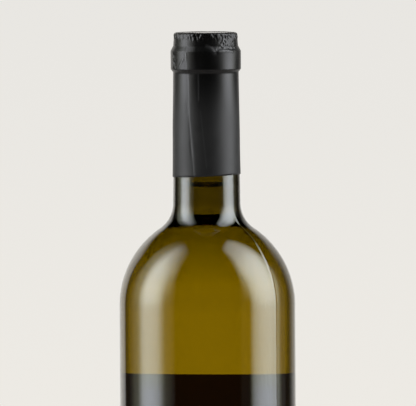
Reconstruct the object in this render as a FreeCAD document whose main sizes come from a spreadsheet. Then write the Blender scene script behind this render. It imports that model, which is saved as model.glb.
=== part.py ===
"""Bordeaux-shaped wine bottle: dead-leaf glass, white wine, a shrunk neck capsule and a label.

Frame: millimetres, +Z up, origin at the centre of the base on the surface it stands on.
The label is wrapped on the +Y side; the -Y side of the glass is bare.
"""

import FreeCAD, Part

import math
import os
import re

import Sketcher

# Driving dimensions, in millimetres.
SIZES = {
    # Glass, outside, from the base up.
    "body_diameter": 75.0,
    "glass_height": 300.0,
    "heel_radius": 6.0,
    "ring_width": 3.0,
    "punt_depth": 20.0,
    "ring_round": 1.2,
    "shoulder_radius": 39.5,
    "root_radius": 13.0,
    "neck_length": 72.7,
    "neck_root_diameter": 28.74,
    "neck_top_diameter": 27.4,
    # Glass, the finish at the mouth.
    "band_reach": 0.98,
    "band_height": 11.2,
    "band_underside": 1.3,
    "band_shoulder": 2.2,
    "band_round": 0.8,
    "lip_setback": 1.13,
    "lip_taper": 0.45,
    "lip_height": 5.4,
    "lip_round": 1.1,
    # Glass, inside.
    "body_wall": 2.4,
    "base_thickness": 4.0,
    "inner_heel_radius": 3.5,
    "inner_root_radius": 17.9,
    "root_lead": 0.7,
    "bore_diameter": 18.5,
    # Wine.
    "fill_depth": 65.2,
    # Capsule.
    "capsule_wall": 0.3,
    "capsule_length": 61.0,
    "capsule_skew": 1.1,
    # Label.
    "label_width": 100.0,
    "label_thickness": 0.15,
    "label_top_gap": 30.9,
    "label_base_gap": 42.0,
    "label_corner": 1.5,
}

# Places worked out from them, as expressions.
NECK_TOP_UP = "glass_height - lip_height - band_height"
NECK_ROOT_UP = "glass_height - neck_length"
BAND_ACROSS = "neck_top_diameter / 2 + band_reach"
RING_ACROSS = "body_diameter / 2 - heel_radius - ring_width"
HEM_UP = "glass_height + capsule_wall - capsule_length"

TOOL_MARGIN = 10.0  # how far a cutting tool runs past what it cuts
START, END, CENTRE = 1, 2, 3  # Sketcher's numbers for the points of an edge
H_AXIS, V_AXIS = -1, -2  # Sketcher's numbers for the sketch's own axes


def make_sheet(doc):
    """The spreadsheet that holds the driving dimensions, one aliased cell for each."""
    sheet = doc.addObject("Spreadsheet::Sheet", "Sizes")
    for row, (alias, value) in enumerate(SIZES.items(), start=1):
        sheet.set(f"A{row}", alias)
        sheet.set(f"B{row}", str(value))
        sheet.setAlias(f"B{row}", alias)
    doc.recompute()
    return sheet


def bound(text):
    """An expression in which each driving dimension's name is read from the sheet."""
    return re.sub("[a-z_]+", lambda word: f"Sizes.{word[0]}" if word[0] in SIZES else word[0], text)


def value_of(text):
    """The number that an expression over the driving dimensions has now."""
    total = FreeCAD.ActiveDocument.getObject("Sizes").evalExpression(bound(text))
    return float(getattr(total, "Value", total))


class Outline:
    """A closed half-section in a body's XZ plane, drawn edge by edge and bound to the sheet."""

    def __init__(self, body, name, plane="XZ_Plane"):
        self.sketch = body.newObject("Sketcher::SketchObject", name)
        origin_plane = next(f for f in body.Origin.OriginFeatures if f.Role == plane)
        self.sketch.AttachmentSupport = [(origin_plane, "")]
        self.sketch.MapMode = "FlatFace"

    def line(self, start, end):
        """Draws a straight edge and returns its number."""
        ends = [FreeCAD.Vector(x, z, 0) for x, z in (start, end)]
        return self.sketch.addGeometry(Part.LineSegment(*ends), False)

    def arc(self, centre, start, end):
        """Draws an arc that runs anticlockwise from start to end and returns its number."""
        radius = math.dist(centre, start)
        turn = [math.atan2(z - centre[1], x - centre[0]) for x, z in (start, end)]
        if turn[1] <= turn[0]:
            turn[1] += 2 * math.pi
        circle = Part.Circle(FreeCAD.Vector(*centre, 0), FreeCAD.Vector(0, 0, 1), radius)
        return self.sketch.addGeometry(Part.ArcOfCircle(circle, *turn), False)

    def rule(self, kind, *where):
        """Adds a geometric constraint, such as Vertical or Tangent."""
        self.sketch.addConstraint(Sketcher.Constraint(kind, *where))

    def size(self, kind, *where_and_text):
        """Adds a dimension whose value is an expression over the driving dimensions."""
        *where, text = where_and_text
        number = self.sketch.addConstraint(Sketcher.Constraint(kind, *where, value_of(text)))
        self.sketch.setExpression(f"Constraints[{number}]", bound(text))

    def place(self, edge, point, across=None, up=None):
        """Fixes how far a point lies from the axis, across, and from the base plane, up."""
        if across is not None:
            self.size("DistanceX", H_AXIS, START, edge, point, across)
        if up is not None:
            self.size("DistanceY", H_AXIS, START, edge, point, up)

    def revolve(self, body, name, angle=360.0, symmetric=False):
        """Turns the finished outline about the vertical axis."""
        feature = body.newObject("PartDesign::Revolution", name)
        feature.Profile = self.sketch
        feature.ReferenceAxis = (self.sketch, ["V_Axis"])
        feature.Angle = angle
        feature.Midplane = symmetric
        self.sketch.Visibility = False
        return feature


def fillet(doc, body, name, base, radius_text, wanted):
    """Rounds the circular edges of base that wanted(radius, height) picks."""
    doc.recompute()
    edges = []
    for number, edge in enumerate(base.Shape.Edges, start=1):
        if edge.Degenerated or not isinstance(edge.Curve, Part.Circle):
            continue
        if wanted(edge.Curve.Radius, edge.Curve.Center.z):
            edges.append(f"Edge{number}")
    if not edges:
        raise RuntimeError(f"{name}: no edge to round")
    feature = body.newObject("PartDesign::Fillet", name)
    feature.Base = (base, edges)
    feature.Radius = value_of(radius_text)
    feature.setExpression("Radius", bound(radius_text))
    return feature


def near(first, second):
    """Whether two lengths are the same."""
    return abs(first - second) < 1e-4


def dome(inner_ring, depth):
    """Radius of the arc that rises from a ring on the base plane to a depth on the axis."""
    return (inner_ring**2 + depth**2) / (2 * depth)


def draw_finish(outline, from_edge, cover):
    """The mouth's steps, from the neck's top to the axis, moved outwards by cover.

    Args:
        outline: the outline that is being drawn.
        from_edge: the neck's edge, whose end is the start of the band's underside.
        cover: an expression for how far the outline lies outside the glass.

    Returns:
        The number of the flat edge that reaches the axis.
    """
    skin = value_of(cover)
    steps = [
        ("neck_top_diameter / 2", NECK_TOP_UP),
        (BAND_ACROSS, f"{NECK_TOP_UP} + band_underside"),
        (BAND_ACROSS, "glass_height - lip_height - band_shoulder"),
        (f"{BAND_ACROSS} - lip_setback", "glass_height - lip_height"),
        (f"{BAND_ACROSS} - lip_setback - lip_taper", "glass_height"),
    ]
    points = [(value_of(across) + skin, value_of(up)) for across, up in steps]
    points[-1] = (points[-1][0], points[-1][1] + skin)
    last = from_edge
    for number in range(1, len(points)):
        edge = outline.line(points[number - 1], points[number])
        outline.rule("Coincident", last, END, edge, START)
        across, up = steps[number]
        lift = f" + {cover}" if number == len(points) - 1 else ""
        outline.place(edge, END, across=f"{across} + {cover}", up=f"{up}{lift}")
        last = edge
    flat = outline.line(points[-1], (0, points[-1][1]))
    outline.rule("Coincident", last, END, flat, START)
    outline.rule("Horizontal", flat)
    outline.rule("PointOnObject", flat, END, V_AXIS)
    return flat


def close_on_axis(outline, top_edge, first_edge, first_point):
    """Joins the outline's top to its start with an edge on the axis."""
    top = outline.sketch.getPoint(top_edge, END)
    bottom = outline.sketch.getPoint(first_edge, first_point)
    axis = outline.line((0, top.y), (0, bottom.y))
    outline.rule("Coincident", top_edge, END, axis, START)
    outline.rule("Coincident", axis, END, first_edge, first_point)


def make_blank(doc):
    """The bottle's outer form as one solid, with its punt, shoulder, neck and finish."""
    body = doc.addObject("PartDesign::Body", "BottleBlank")
    outline = Outline(body, "BlankOutline")
    wide = value_of("body_diameter / 2")
    heel = value_of("heel_radius")
    ring_out = wide - heel
    ring_in = ring_out - value_of("ring_width")
    depth = value_of("punt_depth")
    dome_centre = (0, depth - dome(ring_in, depth))
    # Down from the mouth, the neck leans on the root arc, and that on the shoulder arc.
    root = (value_of("neck_root_diameter / 2"), value_of(NECK_ROOT_UP))
    tip = (value_of("neck_top_diameter / 2"), value_of(NECK_TOP_UP))
    length = math.dist(root, tip)
    across, up = (tip[1] - root[1]) / length, (root[0] - tip[0]) / length
    root_radius, shoulder_radius = value_of("root_radius"), value_of("shoulder_radius")
    root_centre = (root[0] + root_radius * across, root[1] + root_radius * up)
    shoulder_across = wide - shoulder_radius
    reach = root_radius + shoulder_radius
    drop = math.sqrt(reach**2 - (root_centre[0] - shoulder_across) ** 2)
    shoulder_centre = (shoulder_across, root_centre[1] - drop)
    share = shoulder_radius / reach
    meet = tuple(s + share * (r - s) for s, r in zip(shoulder_centre, root_centre))

    punt = outline.arc(dome_centre, (ring_in, 0), (0, depth))
    ring = outline.line((ring_in, 0), (ring_out, 0))
    heel_arc = outline.arc((ring_out, heel), (ring_out, 0), (wide, heel))
    wall = outline.line((wide, heel), (wide, shoulder_centre[1]))
    shoulder = outline.arc(shoulder_centre, (wide, shoulder_centre[1]), meet)
    root_arc = outline.arc(root_centre, root, meet)
    neck = outline.line(root, tip)

    outline.rule("PointOnObject", punt, CENTRE, V_AXIS)
    outline.rule("PointOnObject", punt, END, V_AXIS)
    outline.place(punt, END, up="punt_depth")
    outline.rule("Coincident", punt, START, ring, START)
    outline.rule("PointOnObject", ring, START, H_AXIS)
    outline.rule("Horizontal", ring)
    outline.size("DistanceX", ring, START, ring, END, "ring_width")
    outline.rule("Tangent", ring, END, heel_arc, START)
    outline.size("Radius", heel_arc, "heel_radius")
    outline.rule("Tangent", heel_arc, END, wall, START)
    outline.rule("Vertical", wall)
    outline.place(wall, START, across="body_diameter / 2")
    outline.rule("Tangent", wall, END, shoulder, START)
    outline.size("Radius", shoulder, "shoulder_radius")
    outline.rule("Tangent", shoulder, END, root_arc, END)
    outline.size("Radius", root_arc, "root_radius")
    outline.rule("Tangent", root_arc, START, neck, START)
    outline.place(neck, START, across="neck_root_diameter / 2", up=NECK_ROOT_UP)
    outline.place(neck, END, across="neck_top_diameter / 2", up=NECK_TOP_UP)
    top = draw_finish(outline, neck, "0")
    close_on_axis(outline, top, punt, END)

    feature = outline.revolve(body, "BlankTurned")
    height = value_of("glass_height")
    band = value_of(BAND_ACROSS)
    feature = fillet(doc, body, "BandRound", feature, "band_round", lambda r, z: near(r, band))
    feature = fillet(doc, body, "LipRound", feature, "lip_round", lambda r, z: near(z, height))
    fillet(doc, body, "RingRound", feature, "ring_round", lambda r, z: near(r, ring_in) and near(z, 0))
    return body, shoulder_centre[1]


def make_cavity(doc):
    """The bottle's inside, from the floor over the punt up through the bore, as one solid."""
    body = doc.addObject("PartDesign::Body", "Cavity")
    outline = Outline(body, "CavityOutline")
    ring_in = value_of(RING_ACROSS)
    depth = value_of("punt_depth")
    floor_radius = dome(ring_in, depth) + value_of("base_thickness")
    apex = (0, depth + value_of("base_thickness"))
    floor_centre = (0, apex[1] - floor_radius)
    wall_across = value_of("body_diameter / 2 - body_wall")
    valley_radius = value_of("inner_heel_radius")
    valley_across = wall_across - valley_radius
    valley_reach = floor_radius + valley_radius
    valley_up = floor_centre[1] + math.sqrt(valley_reach**2 - valley_across**2)
    valley_centre = (valley_across, valley_up)
    share = floor_radius / valley_reach
    floor_end = tuple(f + share * (v - f) for f, v in zip(floor_centre, valley_centre))
    bore = value_of("bore_diameter / 2")
    root_radius = value_of("inner_root_radius")
    root_up = value_of(f"{NECK_ROOT_UP} + root_lead")
    root_centre = (bore + root_radius, root_up)
    shoulder_radius = value_of("shoulder_radius - body_wall")
    shoulder_across = wall_across - shoulder_radius
    reach = root_radius + shoulder_radius
    drop = math.sqrt(reach**2 - (root_centre[0] - shoulder_across) ** 2)
    shoulder_centre = (shoulder_across, root_up - drop)
    share = shoulder_radius / reach
    meet = tuple(s + share * (r - s) for s, r in zip(shoulder_centre, root_centre))
    mouth = value_of("glass_height")

    floor = outline.arc(floor_centre, floor_end, apex)
    valley = outline.arc(valley_centre, floor_end, (wall_across, valley_up))
    wall = outline.line((wall_across, valley_up), (wall_across, shoulder_centre[1]))
    shoulder = outline.arc(shoulder_centre, (wall_across, shoulder_centre[1]), meet)
    root_arc = outline.arc(root_centre, (bore, root_up), meet)
    bore_line = outline.line((bore, root_up), (bore, mouth))
    top = outline.line((bore, mouth), (0, mouth))

    floor_size = f"( ( {RING_ACROSS} ) ^ 2 + punt_depth ^ 2 ) / ( 2 * punt_depth ) + base_thickness"
    outline.rule("PointOnObject", floor, CENTRE, V_AXIS)
    outline.rule("PointOnObject", floor, END, V_AXIS)
    outline.place(floor, END, up="punt_depth + base_thickness")
    outline.size("Radius", floor, floor_size)
    outline.rule("Tangent", floor, START, valley, START)
    outline.size("Radius", valley, "inner_heel_radius")
    outline.rule("Tangent", valley, END, wall, START)
    outline.rule("Vertical", wall)
    outline.place(wall, START, across="body_diameter / 2 - body_wall")
    outline.rule("Tangent", wall, END, shoulder, START)
    outline.size("Radius", shoulder, "shoulder_radius - body_wall")
    outline.rule("Tangent", shoulder, END, root_arc, END)
    outline.size("Radius", root_arc, "inner_root_radius")
    outline.rule("Tangent", root_arc, START, bore_line, START)
    outline.place(bore_line, START, across="bore_diameter / 2", up=f"{NECK_ROOT_UP} + root_lead")
    outline.rule("Vertical", bore_line)
    outline.place(bore_line, END, up="glass_height")
    outline.rule("Coincident", bore_line, END, top, START)
    outline.rule("Horizontal", top)
    outline.rule("PointOnObject", top, END, V_AXIS)
    close_on_axis(outline, top, floor, END)
    outline.revolve(body, "CavityTurned")
    return body


def make_capsule_blank(doc):
    """The capsule's outer form as one solid: it follows the glass one capsule wall further out."""
    body = doc.addObject("PartDesign::Body", "CapsuleBlank")
    outline = Outline(body, "CapsuleOutline")
    skin = value_of("capsule_wall")
    hem_up = value_of(f"{HEM_UP} - capsule_skew")
    root = (value_of("neck_root_diameter / 2"), value_of(NECK_ROOT_UP))
    tip = (value_of("neck_top_diameter / 2"), value_of(NECK_TOP_UP))
    lean = (root[0] - tip[0]) / (tip[1] - root[1])
    hem = (tip[0] + lean * (tip[1] - hem_up) + skin, hem_up)

    floor = outline.line((0, hem_up), hem)
    skirt = outline.line(hem, (tip[0] + skin, tip[1]))
    outline.rule("PointOnObject", floor, START, V_AXIS)
    outline.rule("Horizontal", floor)
    outline.rule("Coincident", floor, END, skirt, START)
    lean_text = (
        "( neck_root_diameter - neck_top_diameter ) / 2 / ( neck_length - lip_height - band_height )"
    )
    drop_text = "( capsule_length + capsule_skew - capsule_wall - lip_height - band_height )"
    outline.place(
        skirt,
        START,
        across=f"neck_top_diameter / 2 + {lean_text} * {drop_text} + capsule_wall",
        up=f"{HEM_UP} - capsule_skew",
    )
    outline.place(skirt, END, across="neck_top_diameter / 2 + capsule_wall", up=NECK_TOP_UP)
    top = draw_finish(outline, skirt, "capsule_wall")
    close_on_axis(outline, top, floor, START)
    feature = outline.revolve(body, "CapsuleTurned")
    height = value_of("glass_height + capsule_wall")
    band = value_of(f"{BAND_ACROSS} + capsule_wall")
    feature = fillet(doc, body, "CapsuleBandRound", feature, "band_round", lambda r, z: near(r, band))
    fillet(doc, body, "CapsuleTopRound", feature, "lip_round", lambda r, z: near(z, height))
    return body


def make_trim(doc):
    """The block under the capsule's hem: its tilted top cuts the hem lower on the -X side."""
    trim = doc.addObject("Part::Box", "HemTrim")
    side = "( body_diameter + 2 * neck_root_diameter )"
    for edge in ("Length", "Width", "Height"):
        trim.setExpression(edge, bound(side))
    tilt = "atan( capsule_skew / neck_root_diameter )"
    trim.Placement = FreeCAD.Placement(FreeCAD.Vector(), FreeCAD.Rotation(FreeCAD.Vector(0, -1, 0), 1))
    trim.setExpression("Placement.Rotation.Angle", bound(tilt))
    # The middle of the tilted top face lies on the axis, at the hem's mean height.
    reach = f"{side} / 2"
    trim.setExpression("Placement.Base.x", bound(f"{side} * sin( {tilt} ) - {reach} * cos( {tilt} )"))
    trim.setExpression("Placement.Base.y", bound(f"0 - {reach}"))
    trim.setExpression(
        "Placement.Base.z", bound(f"{HEM_UP} - {reach} * sin( {tilt} ) - {side} * cos( {tilt} )")
    )
    return trim


def make_headspace(doc):
    """The block of air above the wine's level."""
    air = doc.addObject("Part::Cylinder", "Headspace")
    air.setExpression("Radius", bound("body_diameter / 2"))
    air.setExpression("Height", bound(f"fill_depth + {TOOL_MARGIN}"))
    air.setExpression("Placement.Base.z", bound("glass_height - fill_depth"))
    return air


def cut(doc, name, base, tool):
    """What is left of base once tool is taken away."""
    feature = doc.addObject("Part::Cut", name)
    feature.Base = base
    feature.Tool = tool
    return feature


def make_label(doc, shoulder_up):
    """The label: a thin sheet bent round the body's +Y side, with rounded corners."""
    body = doc.addObject("PartDesign::Body", "LabelBody")
    outline = Outline(body, "LabelOutline", plane="YZ_Plane")
    inner = value_of("body_diameter / 2")
    outer = inner + value_of("label_thickness")
    low, high = value_of("label_base_gap"), shoulder_up - value_of("label_top_gap")
    corners = [(inner, low), (outer, low), (outer, high), (inner, high)]
    edges = [outline.line(corners[n], corners[(n + 1) % 4]) for n in range(4)]
    for number, edge in enumerate(edges):
        outline.rule("Coincident", edge, END, edges[(number + 1) % 4], START)
        outline.rule("Vertical" if number % 2 else "Horizontal", edge)
    outline.place(edges[0], START, across="body_diameter / 2", up="label_base_gap")
    outline.size("DistanceX", edges[0], START, edges[0], END, "label_thickness")
    # The body's straight wall ends where the shoulder's arc starts; see make_blank.
    reach = "( shoulder_radius + root_radius )"
    neck_run = "( neck_length - lip_height - band_height )"
    neck_slip = "( ( neck_root_diameter - neck_top_diameter ) / 2 )"
    neck_side = f"sqrt( {neck_run} ^ 2 + {neck_slip} ^ 2 )"
    root_across = f"( neck_root_diameter / 2 + root_radius * {neck_run} / {neck_side} )"
    root_up = f"( {NECK_ROOT_UP} + root_radius * {neck_slip} / {neck_side} )"
    offset = f"( {root_across} - body_diameter / 2 + shoulder_radius )"
    wall_top = f"( {root_up} - sqrt( {reach} ^ 2 - {offset} ^ 2 ) )"
    outline.place(edges[2], START, up=f"{wall_top} - label_top_gap")
    feature = outline.revolve(body, "LabelTurned", symmetric=True)
    feature.setExpression("Angle", bound("label_width / ( body_diameter / 2 ) * 180 / pi"))
    doc.recompute()
    radial = []
    for number, edge in enumerate(feature.Shape.Edges, start=1):
        if near(edge.Length, outer - inner):
            radial.append(f"Edge{number}")
    corner = body.newObject("PartDesign::Fillet", "LabelCorners")
    corner.Base = (feature, radial)
    corner.Radius = value_of("label_corner")
    corner.setExpression("Radius", bound("label_corner"))
    return body


def check(doc, pieces):
    """Stops with a message if a feature failed or a piece isn't one valid solid."""
    for item in doc.Objects:
        if {"Invalid", "Error"} & set(item.State):
            raise RuntimeError(f"{item.Name} failed: {item.State}")
    for node, item in pieces.items():
        shape = item.Shape
        if shape.isNull() or not shape.isValid() or len(shape.Solids) != 1:
            raise RuntimeError(f"{node}: {len(shape.Solids)} solids, valid {shape.isValid()}")
        print(f"{node}: {shape.Volume / 1000:.1f} ml, box {shape.BoundBox}")


def main():
    """Builds the bottle and writes each piece to parts/."""
    doc = FreeCAD.newDocument("WineBottle")
    make_sheet(doc)
    blank, shoulder_up = make_blank(doc)
    cavity = make_cavity(doc)
    glass = cut(doc, "Glass", blank, cavity)
    wine = cut(doc, "Wine", cavity, make_headspace(doc))
    covered = cut(doc, "CapsuleOverGlass", make_capsule_blank(doc), blank)
    capsule = cut(doc, "Capsule", covered, make_trim(doc))
    label = make_label(doc, shoulder_up)
    doc.recompute()
    pieces = {"glass_bottle": glass, "wine": wine, "capsule": capsule, "label": label}
    for node, item in pieces.items():
        item.Label = node
    check(doc, pieces)
    os.makedirs("parts", exist_ok=True)
    for node, item in pieces.items():
        item.Shape.exportStep(f"parts/{node}.step")


main()
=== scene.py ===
"""Looks of a filled wine bottle: olive glass, white wine, a shrunk black capsule, a black label.

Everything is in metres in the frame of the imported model: +Z runs up the bottle's axis, the
viewer is on the -Y side and the label is on the +Y side.
"""

from __future__ import annotations

import logging
import math
from dataclasses import dataclass
from enum import Enum

import bmesh
import bpy
from mathutils import Matrix, Vector, noise

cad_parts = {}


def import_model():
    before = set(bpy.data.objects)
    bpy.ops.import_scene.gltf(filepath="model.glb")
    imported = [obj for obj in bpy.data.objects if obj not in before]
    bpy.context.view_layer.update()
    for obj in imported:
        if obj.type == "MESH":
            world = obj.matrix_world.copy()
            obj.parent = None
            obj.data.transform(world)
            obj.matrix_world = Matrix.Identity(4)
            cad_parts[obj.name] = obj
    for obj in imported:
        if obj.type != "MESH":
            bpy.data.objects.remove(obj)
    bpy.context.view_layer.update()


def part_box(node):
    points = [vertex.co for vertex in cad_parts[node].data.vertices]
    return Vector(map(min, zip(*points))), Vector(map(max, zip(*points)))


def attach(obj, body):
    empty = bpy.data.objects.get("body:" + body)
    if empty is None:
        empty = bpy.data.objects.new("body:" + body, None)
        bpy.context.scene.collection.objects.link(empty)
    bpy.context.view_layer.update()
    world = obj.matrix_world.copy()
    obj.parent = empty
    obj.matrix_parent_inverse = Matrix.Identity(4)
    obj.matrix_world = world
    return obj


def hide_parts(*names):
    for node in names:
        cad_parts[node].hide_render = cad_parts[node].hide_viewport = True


MM = 0.001
BODY = "root"
# How far the wine's flat middle lies below its node's top, as its edge climbs the neck.
WINE_DIP = 0.6 * MM
# Share of the glass's height that the camera looks at.
AIM_SHARE = 0.758

log = logging.getLogger("wine_bottle")

Colour = tuple[float, float, float]
Place = tuple[float, float]


class Node(Enum):
    """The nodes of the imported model."""

    GLASS = "glass_bottle"
    WINE = "wine"
    CAPSULE = "capsule"
    LABEL = "label"


class Slot(Enum):
    """The record's material slots."""

    GLASS = "olive_glass"
    WINE = "white_wine"
    CAPSULE = "black_capsule"
    LABEL = "black_label"


class Graph:
    """A node tree with short ways to add nodes and to join them."""

    def __init__(self, tree: bpy.types.NodeTree) -> None:
        """Takes over the tree and empties it.

        Args:
            tree: the node tree of a material, a lamp or the world.
        """
        self.tree = tree
        self.tree.nodes.clear()

    def add(
        self, kind: str, inputs: dict[str | int, object] | None = None, **settings: object
    ) -> bpy.types.Node:
        """Adds a node.

        Args:
            kind: the node's type name, without its ShaderNode prefix.
            inputs: what some of its inputs get, by name or number.
            **settings: attributes to set on the node.

        Returns:
            The new node.
        """
        node = self.tree.nodes.new(f"ShaderNode{kind}")
        for name, value in settings.items():
            setattr(node, name, value)
        for name, value in (inputs or {}).items():
            self.feed(node.inputs[name], value)
        return node

    def feed(self, target: bpy.types.NodeSocket, value: object) -> None:
        """Joins an output to an input, or sets the input to a plain value.

        Args:
            target: the input.
            value: another node's output, or the plain value.
        """
        if isinstance(value, bpy.types.NodeSocket):
            self.tree.links.new(value, target)
        else:
            target.default_value = value

    def parts(self, vector: bpy.types.NodeSocket) -> bpy.types.NodeOutputs:
        """Splits a vector into its outputs X, Y and Z."""
        return self.add("SeparateXYZ", {"Vector": vector}).outputs

    def math(self, operation: str, *values: object) -> bpy.types.NodeSocket:
        """Adds a Math node and returns its output.

        Args:
            operation: the Math node's operation.
            *values: its inputs, as outputs of other nodes or as numbers.

        Returns:
            The node's output.
        """
        node = self.add("Math", operation=operation)
        for socket, value in zip(node.inputs, values):
            self.feed(socket, value)
        return node.outputs[0]

    def mix(self, share: object, first: object, second: object) -> bpy.types.NodeSocket:
        """Adds a colour Mix node and returns its output.

        Args:
            share: how much of the second colour is taken, from 0 to 1.
            first: the colour, or an output that gives it, at a share of 0.
            second: the colour, or an output that gives it, at a share of 1.

        Returns:
            The mixed colour's output.
        """
        node = self.add("Mix", data_type="RGBA")
        self.feed(node.inputs["Factor"], share)
        self.feed(node.inputs["A"], first)
        self.feed(node.inputs["B"], second)
        return node.outputs["Result"]

    def ramp(
        self, value: bpy.types.NodeSocket, stops: list[tuple[float, float]], ease: str = "LINEAR"
    ) -> bpy.types.NodeSocket:
        """Adds a grey Color Ramp and returns its output.

        Args:
            value: what runs along the ramp, from 0 to 1.
            stops: places along the ramp with the grey at each.
            ease: how the ramp runs from stop to stop.

        Returns:
            The ramp's colour output.
        """
        node = self.add("ValToRGB")
        node.color_ramp.interpolation = ease
        elements = node.color_ramp.elements
        for number, (place, grey) in enumerate(stops):
            element = elements[number] if number < 2 else elements.new(place)
            element.position = place
            element.color = (grey, grey, grey, 1.0)
        self.feed(node.inputs["Fac"], value)
        return node.outputs["Color"]

    def noise(
        self, place: bpy.types.NodeSocket, scale: float, detail: float
    ) -> bpy.types.NodeSocket:
        """Adds a Noise texture with a scale per metre and returns its value output."""
        inputs = {"Vector": place, "Scale": scale, "Detail": detail}
        return self.add("TexNoise", inputs).outputs["Fac"]

    def bump(self, height: bpy.types.NodeSocket, depth: float) -> bpy.types.NodeSocket:
        """Adds a Bump node of a depth in metres and returns its normal output."""
        return self.add("Bump", {"Distance": depth, "Height": height}).outputs["Normal"]


def rgba(colour: Colour) -> tuple[float, float, float, float]:
    """The colour with full alpha."""
    return (*colour, 1.0)


def new_material(name: str) -> tuple[bpy.types.Material, Graph]:
    """Makes an empty node material.

    Args:
        name: the material's name.

    Returns:
        The material and its graph.
    """
    material = bpy.data.materials.new(name)
    material.use_nodes = True
    return material, Graph(material.node_tree)


@dataclass(frozen=True)
class ClearFinish:
    """A clear material that light is bent by, and dimmed in by its depth.

    Attributes:
        name: the material's name.
        tint: what each pair of its surfaces lets through.
        refraction: its refractive index.
        dimming: how fast red, green and blue fade inside it, per metre.
        wet_attribute: the point attribute that is 1 where another liquid or solid touches it.
        ripple_scale: how many ripples its surface has in a metre.
        ripple_depth: how deep they are.
        warmth: heights in metres, with the share of blue that its surface mirrors at each.
    """

    name: str
    tint: Colour
    refraction: float
    dimming: Colour
    wet_attribute: str
    ripple_scale: float
    ripple_depth: float
    warmth: tuple[Place, ...] = ((0.0, 1.0), (1.0, 1.0))

    def make(self) -> bpy.types.Material:
        """Makes the material and returns it."""
        material, graph = new_material(self.name)
        place = graph.add("TexCoord").outputs["Object"]
        # A wetted surface mirrors almost nothing head-on.
        wet = graph.add("Attribute", attribute_name=self.wet_attribute)
        bare = graph.math("SUBTRACT", 1.0, wet.outputs["Fac"])
        share = graph.ramp(graph.parts(place)["Z"], list(self.warmth))
        blue = graph.math("MULTIPLY", bare, share)
        sheen = graph.add("CombineColor", {"Red": bare, "Green": bare, "Blue": blue})
        ripple = graph.noise(place, self.ripple_scale, 1.0)
        shader = graph.add("BsdfPrincipled", {
            "Base Color": rgba(self.tint), "Roughness": 0.0, "IOR": self.refraction,
            "Transmission Weight": 1.0, "Specular Tint": sheen.outputs["Color"],
            "Normal": graph.bump(ripple, self.ripple_depth),
        })
        density = max(self.dimming)
        passed = rgba(tuple(1.0 - rate / density for rate in self.dimming))
        inside = graph.add("VolumeAbsorption", {"Density": density, "Color": passed})
        graph.add("OutputMaterial", {
            "Surface": shader.outputs["BSDF"], "Volume": inside.outputs["Volume"],
        })
        return material


@dataclass(frozen=True)
class FilmFinish:
    """Matt heat-shrunk film: near black, glossier at the top, greyer lower down; folds get a
    painted highlight.

    Attributes:
        name: the material's name.
        fold_highlight_attribute: the point attribute that tells how much painted highlight a fold
            gets.
        colour, low_colour, fold_highlight_colour: its colour at the top and lower down, and the
        light grey painted along folds as a highlight.
        roughness: its roughness at the top and lower down.
        gloss: how strongly it mirrors, where 0.5 is plain plastic.
        gloss_tint: the colour that it mirrors with.
        change: the heights between which the one turns into the other.
        cloud_scale, cloud_roughness: how many cloudy patches it has in a metre, and how much
            rougher these are.
        wander: over what height the patches shift that change.
        refraction: its refractive index.
        grain_scale, grain_depth: how many grains it has in a metre, and how deep they are.
    """

    name: str = "capsule_film"
    fold_highlight_attribute: str = "fold_highlight"
    colour: Colour = (0.0004, 0.0004, 0.0003)
    low_colour: Colour = (0.0075, 0.0075, 0.0075)
    fold_highlight_colour: Colour = (0.06, 0.06, 0.06)
    roughness: Place = (0.25, 0.4)
    gloss: float = 0.25
    gloss_tint: Colour = (1.0, 0.95, 0.95)
    change: Place = (0.258, 0.284)
    cloud_scale: float = 130.0
    wander: float = 12.0 * MM
    cloud_roughness: float = 0.16
    refraction: float = 1.5
    grain_scale: float = 1500.0
    grain_depth: float = 0.014 * MM

    def make(self) -> bpy.types.Material:
        """Makes the material and returns it."""
        material, graph = new_material(self.name)
        place = graph.add("TexCoord").outputs["Object"]
        low, high = self.change
        cloud = graph.noise(place, self.cloud_scale, 4.0)
        shift = graph.math("MULTIPLY_ADD", cloud, self.wander, -self.wander / 2)
        height = graph.math("ADD", graph.parts(place)["Z"], shift)
        # Greyer and rougher lower down, with a wandering edge.
        low_share = graph.ramp(
            graph.math("MULTIPLY_ADD", height, 1 / (high - low), -low / (high - low)),
            [(0.0, 1.0), (1.0, 0.0)],
            "EASE",
        )
        patchy = graph.math("MULTIPLY", low_share, graph.math("MULTIPLY_ADD", cloud, 1.0, 0.5))
        plain = graph.mix(patchy, rgba(self.colour), rgba(self.low_colour))
        # The light grey along the folds is a painted highlight.
        fold_highlight = graph.add("Attribute", attribute_name=self.fold_highlight_attribute)
        colour = graph.mix(fold_highlight.outputs["Fac"], plain, rgba(self.fold_highlight_colour))
        glossy, matt = self.roughness
        rough = graph.math("MULTIPLY_ADD", low_share, matt - glossy, glossy)
        grain = graph.noise(place, self.grain_scale, 2.0)
        shader = graph.add("BsdfPrincipled", {
            "Base Color": colour, "IOR": self.refraction, "Specular IOR Level": self.gloss,
            "Specular Tint": rgba(self.gloss_tint),
            "Roughness": graph.math("MULTIPLY_ADD", cloud, self.cloud_roughness, rough),
            "Normal": graph.bump(grain, self.grain_depth),
        })
        graph.add("OutputMaterial", {"Surface": shader.outputs["BSDF"]})
        return material


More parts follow.
